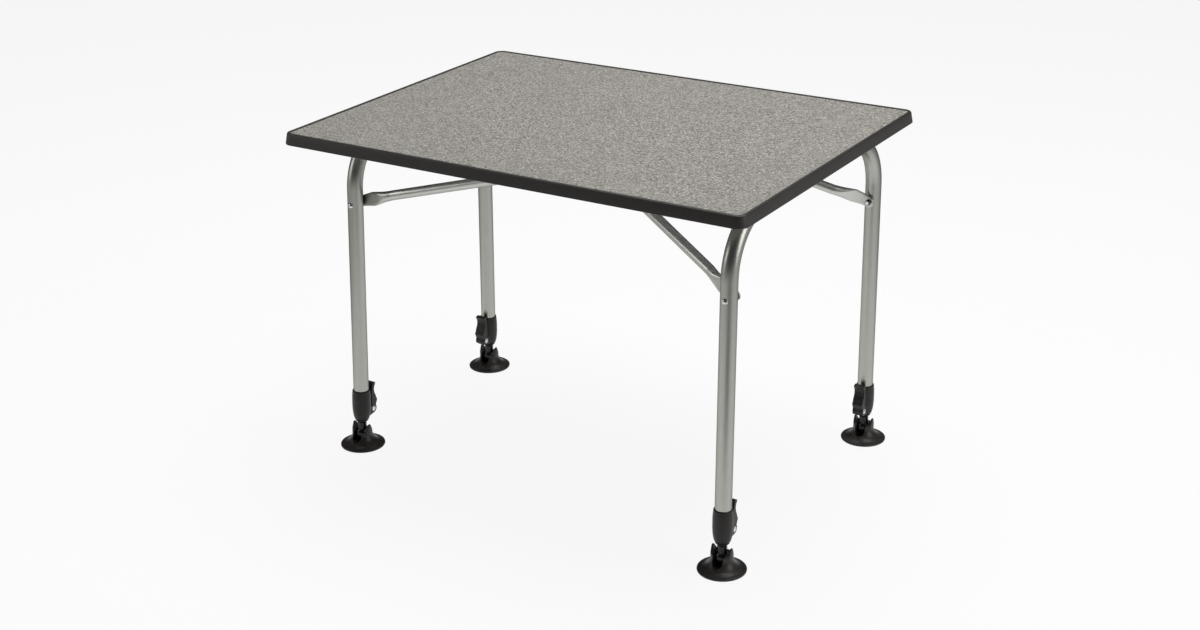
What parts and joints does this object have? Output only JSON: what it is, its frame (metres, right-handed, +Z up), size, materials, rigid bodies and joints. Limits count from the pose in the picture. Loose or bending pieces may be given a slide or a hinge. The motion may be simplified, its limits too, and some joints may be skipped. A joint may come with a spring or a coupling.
{
  "type": "folding camping table",
  "caption": "Folding camping table with a rimmed laminate top, nesting U-shaped tube leg frames with hinged braces, telescopic clamped legs and ball-jointed disc feet.",
  "frame": {"origin": "on the floor under the middle of the top", "axes": "+X along the top to the wide frame's end, -Y to the front, +Z up"},
  "size_m": [0.8035, 0.6, 0.57],
  "materials": {
    "laminate": "fine mottled warm grey laminate on a light board",
    "rim": "fine-grained charcoal plastic",
    "moulded_black": "moulded satin black",
    "clamp_black": "moulded satin black",
    "foot_black": "moulded, half gloss",
    "leg_tube": "matt anodised, drawn along the tube",
    "brace_tube": "satin anodised",
    "bright_steel": "zinc plated",
    "dark_steel": "black zinc"
  },
  "bodies": {
    "top": {"top_board": "laminate", "edge_rim": "rim", "right_rear_hinge_block": "moulded_black", "right_front_hinge_block": "moulded_black", "left_rear_hinge_block": "moulded_black", "left_front_hinge_block": "moulded_black", "hinge_block_screws": "bright_steel", "right_brace_catch": "moulded_black", "left_rear_brace_catch": "moulded_black", "left_front_brace_catch": "moulded_black", "catch_screws": "bright_steel"},
    "right_frame": {"right_leg_frame": "leg_tube", "right_pivot_bolts": "bright_steel", "right_pivot_nuts": "dark_steel", "right_pivot_spacers": "moulded_black", "right_rear_clamp_housing": "clamp_black", "right_rear_clamp_pin": "bright_steel", "right_front_clamp_housing": "clamp_black", "right_front_clamp_pin": "bright_steel"},
    "right_brace": {"right_brace": "brace_tube"},
    "left_frame": {"left_leg_frame": "leg_tube", "left_pivot_bolts": "bright_steel", "left_pivot_nuts": "dark_steel", "left_pivot_spacers": "moulded_black", "left_rear_clamp_housing": "clamp_black", "left_rear_clamp_pin": "bright_steel", "left_front_clamp_housing": "clamp_black", "left_front_clamp_pin": "bright_steel"},
    "left_brace": {"left_brace": "brace_tube"},
    "right_rear_lever": {"right_rear_clamp_lever": "clamp_black"},
    "right_rear_extension": {"right_rear_extension_tube": "leg_tube"},
    "right_rear_stud": {"right_rear_ball_stud": "foot_black"},
    "right_rear_foot": {"right_rear_foot": "foot_black"},
    "right_front_lever": {"right_front_clamp_lever": "clamp_black"},
    "right_front_extension": {"right_front_extension_tube": "leg_tube"},
    "right_front_stud": {"right_front_ball_stud": "foot_black"},
    "right_front_foot": {"right_front_foot": "foot_black"},
    "left_rear_lever": {"left_rear_clamp_lever": "clamp_black"},
    "left_rear_extension": {"left_rear_extension_tube": "leg_tube"},
    "left_rear_stud": {"left_rear_ball_stud": "foot_black"},
    "left_rear_foot": {"left_rear_foot": "foot_black"},
    "left_front_lever": {"left_front_clamp_lever": "clamp_black"},
    "left_front_extension": {"left_front_extension_tube": "leg_tube"},
    "left_front_stud": {"left_front_ball_stud": "foot_black"},
    "left_front_foot": {"left_front_foot": "foot_black"}
  },
  "joints": [
    {"name": "right_leg_fold", "type": "hinge", "parent": "top", "child": "right_frame", "pos_m": [0.354, 0, 0.54], "axis": [0, 1, 0], "range_deg": [0, 87]},
    {"name": "left_leg_fold", "type": "hinge", "parent": "top", "child": "left_frame", "pos_m": [-0.354, 0, 0.54], "axis": [0, -1, 0], "range_deg": [0, 76]},
    {"name": "right_brace_swing", "type": "hinge", "parent": "right_frame", "child": "right_brace", "pos_m": [0.354, 0, 0.428], "axis": [0, -1, 0], "range_deg": [0, 115.9]},
    {"name": "left_brace_swing", "type": "hinge", "parent": "left_frame", "child": "left_brace", "pos_m": [-0.35664, 0, 0.42803], "axis": [0, 1, 0], "range_deg": [0, 101.7]},
    {"name": "right_rear_lever_open", "type": "hinge", "parent": "right_frame", "child": "right_rear_lever", "pos_m": [0.354, 0.23458, 0.05963], "axis": [1, 0, 0], "range_deg": [0, 110]},
    {"name": "right_rear_leg_extend", "type": "slide", "parent": "right_frame", "child": "right_rear_extension", "axis": [0, 0.0175, -0.9998], "range_m": [0, 0.17]},
    {"name": "right_rear_foot_swivel", "type": "hinge", "parent": "right_rear_extension", "child": "right_rear_stud", "pos_m": [0.354, 0.25624, 0.022], "axis": [0, -0.0175, 0.9998], "continuous": true},
    {"name": "right_rear_foot_tilt", "type": "hinge", "parent": "right_rear_stud", "child": "right_rear_foot", "pos_m": [0.354, 0.25624, 0.022], "axis": [-1, 0, 0], "range_deg": [-15, 70]},
    {"name": "right_front_lever_open", "type": "hinge", "parent": "right_frame", "child": "right_front_lever", "pos_m": [0.354, -0.23458, 0.05963], "axis": [-1, 0, 0], "range_deg": [0, 110]},
    {"name": "right_front_leg_extend", "type": "slide", "parent": "right_frame", "child": "right_front_extension", "axis": [0, -0.0175, -0.9998], "range_m": [0, 0.17]},
    {"name": "right_front_foot_swivel", "type": "hinge", "parent": "right_front_extension", "child": "right_front_stud", "pos_m": [0.354, -0.25624, 0.022], "axis": [0, 0.0175, 0.9998], "continuous": true},
    {"name": "right_front_foot_tilt", "type": "hinge", "parent": "right_front_stud", "child": "right_front_foot", "pos_m": [0.354, -0.25624, 0.022], "axis": [-1, 0, 0], "range_deg": [-15, 70]},
    {"name": "left_rear_lever_open", "type": "hinge", "parent": "left_frame", "child": "left_rear_lever", "pos_m": [-0.36532, 0.16758, 0.05962], "axis": [0.9997, 0, -0.0236], "range_deg": [0, 110]},
    {"name": "left_rear_leg_extend", "type": "slide", "parent": "left_frame", "child": "left_rear_extension", "axis": [-0.0236, 0.0175, -0.9996], "range_m": [0, 0.17]},
    {"name": "left_rear_foot_swivel", "type": "hinge", "parent": "left_rear_extension", "child": "left_rear_stud", "pos_m": [-0.36621, 0.18924, 0.022], "axis": [0.0236, -0.0175, 0.9996], "continuous": true},
    {"name": "left_rear_foot_tilt", "type": "hinge", "parent": "left_rear_stud", "child": "left_rear_foot", "pos_m": [-0.36621, 0.18924, 0.022], "axis": [-1, 0, 0], "range_deg": [-15, 70]},
    {"name": "left_front_lever_open", "type": "hinge", "parent": "left_frame", "child": "left_front_lever", "pos_m": [-0.36532, -0.16758, 0.05962], "axis": [-0.9997, 0, 0.0236], "range_deg": [0, 110]},
    {"name": "left_front_leg_extend", "type": "slide", "parent": "left_frame", "child": "left_front_extension", "axis": [-0.0236, -0.0175, -0.9996], "range_m": [0, 0.17]},
    {"name": "left_front_foot_swivel", "type": "hinge", "parent": "left_front_extension", "child": "left_front_stud", "pos_m": [-0.36621, -0.18924, 0.022], "axis": [0.0236, 0.0175, 0.9996], "continuous": true},
    {"name": "left_front_foot_tilt", "type": "hinge", "parent": "left_front_stud", "child": "left_front_foot", "pos_m": [-0.36621, -0.18924, 0.022], "axis": [-1, 0, 0], "range_deg": [-15, 70]}
  ],
  "couplings": [
    {"joint": "right_brace_swing", "follows": "right_leg_fold", "ratio": 1.33},
    {"joint": "left_brace_swing", "follows": "left_leg_fold", "ratio": 1.335}
  ]
}
